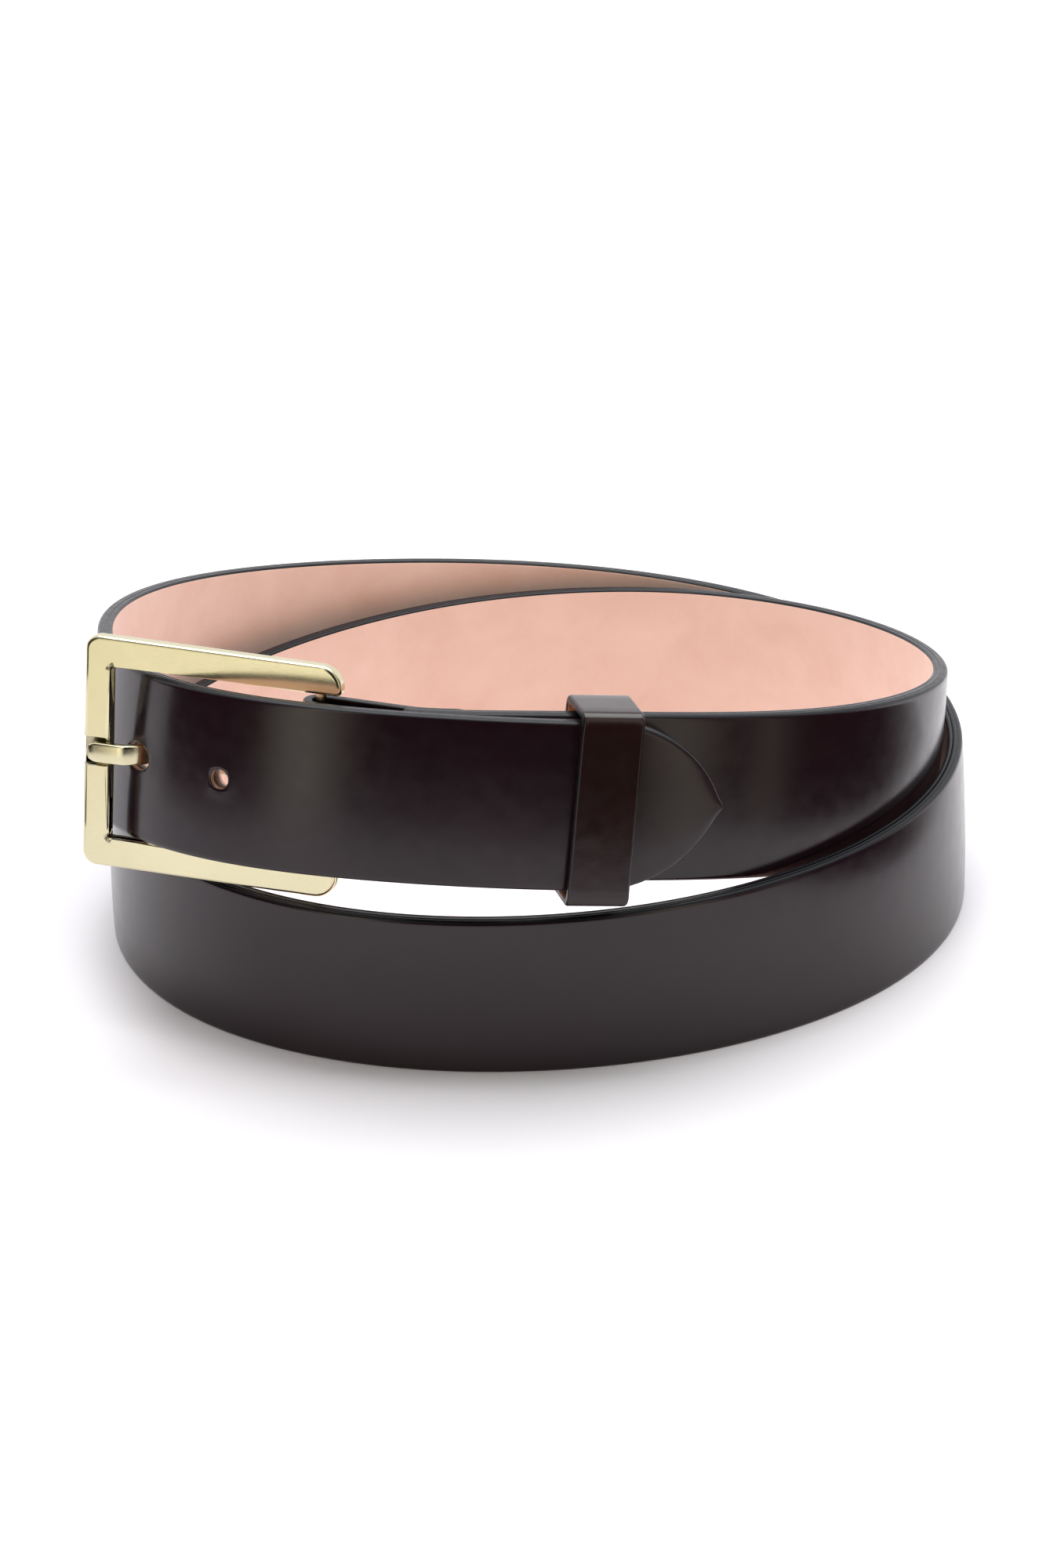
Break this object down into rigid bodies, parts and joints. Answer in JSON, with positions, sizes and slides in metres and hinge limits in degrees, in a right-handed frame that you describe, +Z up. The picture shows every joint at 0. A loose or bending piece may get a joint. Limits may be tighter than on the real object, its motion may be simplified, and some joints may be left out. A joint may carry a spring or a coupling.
{
  "type": "leather dress belt",
  "caption": "Smooth dark leather dress belt, buckled and wound into two turns standing on edge, with an open C-shaped polished metal frame buckle, prong and leather keeper.",
  "frame": {"origin": "on the floor, at the middle of the coil's footprint", "axes": "+Z up, across the strap's width; the buckle is at the front, towards -Y, and to the left, towards -X; +X is the coil's longest side"},
  "size_m": [0.1866, 0.1778, 0.0836],
  "materials": {
    "strap_leather": "brushed-off, high-shine dark plum-brown calf with dark painted edges",
    "core_board": "bonded leather filler between face and lining, seen only at the painted edges and in the holes",
    "lining_leather": "smooth undyed vegetable-tanned lining, pinkish tan, satin",
    "chape_leather": "the same dark leather, bare tan flesh side inwards",
    "keeper_leather": "glossy dark brown leather, tan flesh side inwards",
    "buckle_gold": "polished pale gold plating",
    "plated_metal": "satin pale gold plating",
    "staple_wire": "bright steel wire"
  },
  "bodies": {
    "strap": {"strap_face": "strap_leather", "strap_core": "core_board", "strap_lining": "lining_leather", "buckle_chape": "chape_leather", "chape_posts": "plated_metal", "chape_screws": "plated_metal"},
    "buckle": {"buckle_frame": "buckle_gold", "pivot_bar": "buckle_gold"},
    "prong_body": {"prong": "buckle_gold"},
    "keeper": {"keeper_band": "keeper_leather", "keeper_staple": "staple_wire"}
  },
  "joints": [
    {"name": "buckle_pivot", "type": "hinge", "parent": "strap", "child": "buckle", "pos_m": [-0.04233, -0.07147, 0.0594], "axis": [0.0385, 0.1156, 0.9925], "range_deg": [-0.5, 0.8]},
    {"name": "prong_pivot", "type": "hinge", "parent": "buckle", "child": "prong_body", "pos_m": [-0.04233, -0.07147, 0.0594], "axis": [0.0385, 0.1156, 0.9925], "range_deg": [0, 0.6]},
    {"name": "keeper_slide", "type": "hinge", "parent": "strap", "child": "keeper", "pos_m": [-0.01725, 0.05333, 0.04227], "axis": [0.0839, 0.1399, 0.9866], "range_deg": [-2.5, 2.5]}
  ]
}
